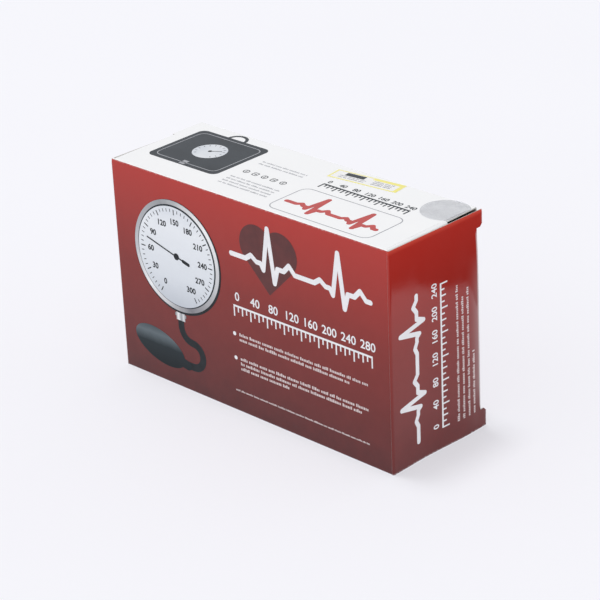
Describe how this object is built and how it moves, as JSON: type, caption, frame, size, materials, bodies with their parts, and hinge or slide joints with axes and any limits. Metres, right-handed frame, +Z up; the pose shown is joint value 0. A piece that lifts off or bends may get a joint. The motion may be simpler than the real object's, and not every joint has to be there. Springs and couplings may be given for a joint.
{
  "type": "sphygmomanometer",
  "caption": "Aneroid sphygmomanometer kit packed in a tuck-end paperboard carton: cuff, bulb, release valve, dial gauge and zipped case, with hinged end flaps.",
  "frame": {"origin": "middle of the carton's underside", "axes": "+X towards the right end of the carton, -Y out of its front panel, +Z up"},
  "size_m": [0.191, 0.0685, 0.1201],
  "materials": {
    "red_board": "red ink fading to dark brown red under gloss varnish",
    "white_board": "white coated board under gloss varnish",
    "plain_board": "white coated outside, grey recycled inside",
    "clear_film": "clear film",
    "label_paper": "matt white paper",
    "blue_nylon": "woven nylon",
    "black_rubber": "matt latex rubber",
    "chrome": "polished plating",
    "steel": "turned steel",
    "brass": "turned and stamped brass",
    "dial_face": "matt pale dial paint with printed scale",
    "pointer_black": "black paint",
    "crystal": "clear",
    "case_vinyl": "grained black vinyl",
    "zip_metal": "nickel plated brass"
  },
  "bodies": {
    "carton": {"front_panel": "red_board", "back_panel": "red_board", "top_panel": "white_board", "bottom_panel": "white_board", "glue_flap": "plain_board", "round_seal": "clear_film", "price_label": "label_paper", "folded_cuff": "blue_nylon", "bladder": "black_rubber", "carry_case": "case_vinyl", "zipper_chain": "zip_metal", "leaflet": "label_paper", "inflation_bulb": "black_rubber", "inlet_valve_body": "chrome", "release_valve_body": "chrome", "bulb_tube": "black_rubber", "gauge_tube": "black_rubber", "gauge_case": "chrome", "gauge_stem": "chrome", "bezel": "chrome", "crystal_gasket": "black_rubber", "crystal": "crystal", "dial": "dial_face", "lower_diaphragm": "brass", "upper_diaphragm": "brass", "lower_plate": "brass", "upper_plate": "brass", "support_posts": "steel", "plate_pillars": "steel", "case_screws": "steel", "rocker_brackets": "brass", "pinion_bridge": "brass", "hairspring": "steel"},
    "right_closure": {"right_closure_panel": "red_board"},
    "right_tongue": {"right_tuck_tongue": "plain_board"},
    "right_top_dust": {"right_top_dust_flap": "plain_board"},
    "right_bottom_dust": {"right_bottom_dust_flap": "plain_board"},
    "left_closure": {"left_closure_panel": "red_board"},
    "left_tongue": {"left_tuck_tongue": "plain_board"},
    "left_top_dust": {"left_top_dust_flap": "plain_board"},
    "left_bottom_dust": {"left_bottom_dust_flap": "plain_board"},
    "sector": {"sector_gear": "brass"},
    "needle": {"pinion_arbor": "brass", "pointer": "pointer_black"},
    "rocker": {"rocking_shaft": "steel"},
    "pin": {"push_pin": "steel"},
    "screw": {"release_screw": "chrome"},
    "inlet_check": {"inlet_ball": "steel"},
    "outlet_check": {"outlet_ball": "steel"},
    "slider": {"zipper_slider": "zip_metal"},
    "pull": {"zipper_pull": "zip_metal"}
  },
  "joints": [
    {"name": "right_closure_swing", "type": "hinge", "parent": "carton", "child": "right_closure", "pos_m": [0.0952, -0.0327, 0.06], "axis": [0, 0, -1], "range_deg": [0, 170]},
    {"name": "right_tongue_bend", "type": "hinge", "parent": "right_closure", "child": "right_tongue", "pos_m": [0.0952, 0.0318, 0.06], "axis": [0, 0, -1], "range_deg": [0, 34]},
    {"name": "right_top_dust_swing", "type": "hinge", "parent": "carton", "child": "right_top_dust", "pos_m": [0.0943, 0, 0.1197], "axis": [0, -1, 0], "range_deg": [0, 85]},
    {"name": "right_bottom_dust_swing", "type": "hinge", "parent": "carton", "child": "right_bottom_dust", "pos_m": [0.0943, 0, 0.0003], "axis": [0, 1, 0], "range_deg": [0, 85]},
    {"name": "left_closure_swing", "type": "hinge", "parent": "carton", "child": "left_closure", "pos_m": [-0.0952, -0.0327, 0.06], "axis": [0, 0, 1], "range_deg": [0, 170]},
    {"name": "left_tongue_bend", "type": "hinge", "parent": "left_closure", "child": "left_tongue", "pos_m": [-0.0952, 0.0318, 0.06], "axis": [0, 0, 1], "range_deg": [0, 34]},
    {"name": "left_top_dust_swing", "type": "hinge", "parent": "carton", "child": "left_top_dust", "pos_m": [-0.0943, 0, 0.1197], "axis": [0, 1, 0], "range_deg": [0, 85]},
    {"name": "left_bottom_dust_swing", "type": "hinge", "parent": "carton", "child": "left_bottom_dust", "pos_m": [-0.0943, 0, 0.0003], "axis": [0, -1, 0], "range_deg": [0, 85]},
    {"name": "sector_turn", "type": "hinge", "parent": "carton", "child": "sector", "pos_m": [0.07195, -0.01849, 0.0187], "axis": [1, 0, 0], "range_deg": [0, 32]},
    {"name": "pointer_turn", "type": "hinge", "parent": "carton", "child": "needle", "pos_m": [0.07195, -0.0069, 0.0261], "axis": [1, 0, 0], "range_deg": [-320, 0], "stiffness_Nm_per_rad": 0.000001},
    {"name": "rocker_tip", "type": "hinge", "parent": "carton", "child": "rocker", "pos_m": [0.0687, -0.0069, 0.0201], "axis": [0, 1, 0], "range_deg": [0, 14.37]},
    {"name": "push_pin_lift", "type": "slide", "parent": "carton", "child": "pin", "axis": [1, 0, 0], "range_m": [0, 0.00151]},
    {"name": "release_screw_turn", "type": "hinge", "parent": "carton", "child": "screw", "pos_m": [-0.0011, -0.0069, 0.0894], "axis": [0, 0, 1], "range_deg": [0, 360]},
    {"name": "inlet_ball_lift", "type": "slide", "parent": "carton", "child": "inlet_check", "axis": [1, 0, 0], "range_m": [0, 0.0015]},
    {"name": "outlet_ball_lift", "type": "slide", "parent": "carton", "child": "outlet_check", "axis": [1, 0, 0], "range_m": [0, 0.0015]},
    {"name": "zipper_run", "type": "slide", "parent": "carton", "child": "slider", "axis": [1, 0, 0], "range_m": [-0.013, 0.0768]},
    {"name": "pull_flip", "type": "hinge", "parent": "slider", "child": "pull", "pos_m": [-0.0479, 0.0269, 0.073], "axis": [0, -1, 0], "range_deg": [0, 170]}
  ],
  "couplings": [
    {"joint": "right_tongue_bend", "follows": "right_closure_swing", "ratio": 0.2},
    {"joint": "right_top_dust_swing", "follows": "right_closure_swing", "ratio": 0.5},
    {"joint": "right_bottom_dust_swing", "follows": "right_closure_swing", "ratio": 0.5},
    {"joint": "left_tongue_bend", "follows": "left_closure_swing", "ratio": 0.2},
    {"joint": "left_top_dust_swing", "follows": "left_closure_swing", "ratio": 0.5},
    {"joint": "left_bottom_dust_swing", "follows": "left_closure_swing", "ratio": 0.5},
    {"joint": "pointer_turn", "follows": "sector_turn", "ratio": -10},
    {"joint": "rocker_tip", "follows": "sector_turn", "ratio": 0.44762},
    {"joint": "push_pin_lift", "follows": "sector_turn", "m_per_rad": 0.0026857}
  ]
}
